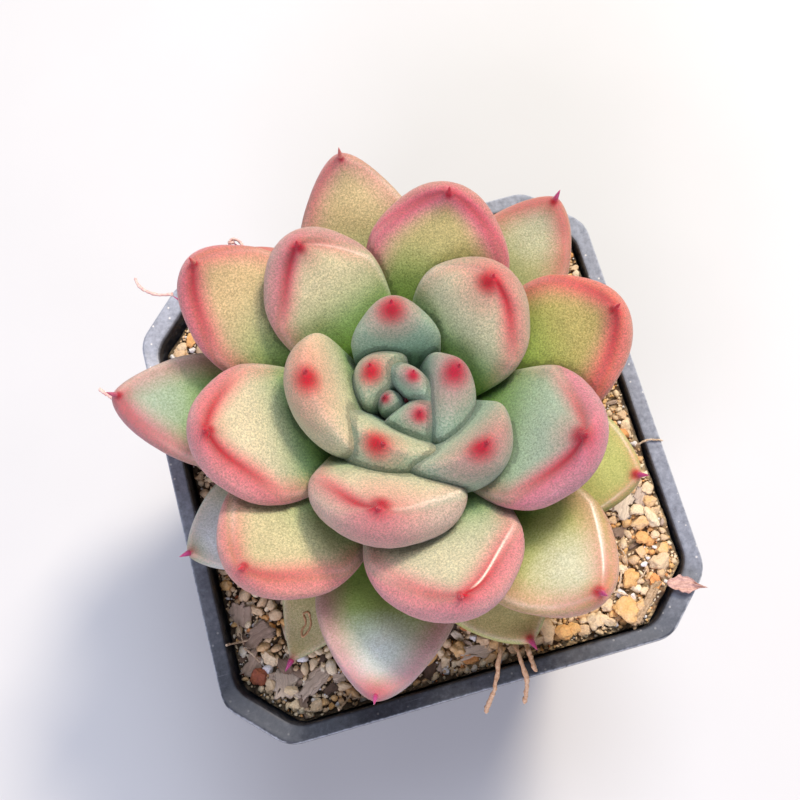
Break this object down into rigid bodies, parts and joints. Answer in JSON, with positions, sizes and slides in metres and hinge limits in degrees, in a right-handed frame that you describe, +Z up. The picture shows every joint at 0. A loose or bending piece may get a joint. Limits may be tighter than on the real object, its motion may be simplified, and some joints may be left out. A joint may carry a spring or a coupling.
{
  "type": "potted echeveria",
  "caption": "Rosette succulent with fleshy pink-edged, red-tipped leaves on a short stem, growing in gritty compost in a square cut-cornered nursery pot.",
  "frame": {"origin": "middle of the pot's underside, on the floor, on the flat face of the middle foot", "axes": "+Z up; +X along the front side of the pot, to the right; +Y away from the front side; the rosette leans out furthest over the -X side"},
  "size_m": [0.0786, 0.0838, 0.0949],
  "materials": {
    "pot": "moulded black polypropylene, satin, with dust and fine scratches on the rim",
    "compost": "rough baked clay grit and pumice, tan to orange, with grey bark and dark fines",
    "stem": "matt green bark",
    "bud_leaf": "waxy bloom over blue-green flesh, red at the spine",
    "leaf": "waxy bloom over cream to yellow-green flesh, pink along the margins",
    "dry_matter": "dry, pale pinkish brown, fibrous"
  },
  "bodies": {
    "root": {"pot": "pot", "compost": "compost", "stem": "stem", "leaf_01": "bud_leaf", "leaf_02": "bud_leaf", "leaf_03": "bud_leaf", "leaf_04": "bud_leaf", "leaf_05": "bud_leaf", "leaf_06": "bud_leaf", "leaf_07": "bud_leaf", "leaf_08": "bud_leaf", "leaf_09": "bud_leaf", "leaf_10": "bud_leaf", "leaf_11": "leaf", "leaf_12": "leaf", "leaf_13": "leaf", "leaf_14": "leaf", "leaf_15": "leaf", "leaf_16": "leaf", "leaf_17": "leaf", "leaf_18": "leaf", "leaf_19": "leaf", "leaf_20": "leaf", "leaf_21": "leaf", "leaf_22": "leaf", "leaf_23": "leaf", "leaf_24": "leaf", "leaf_25": "leaf", "leaf_26": "leaf", "leaf_27": "leaf", "leaf_28": "leaf", "leaf_29": "leaf", "leaf_30": "leaf", "leaf_31": "leaf", "leaf_32": "leaf", "leaf_33": "leaf", "dry_root_1": "dry_matter", "dry_root_2": "dry_matter", "dry_root_3": "dry_matter", "shed_leaf": "dry_matter"}
  },
  "joints": []
}
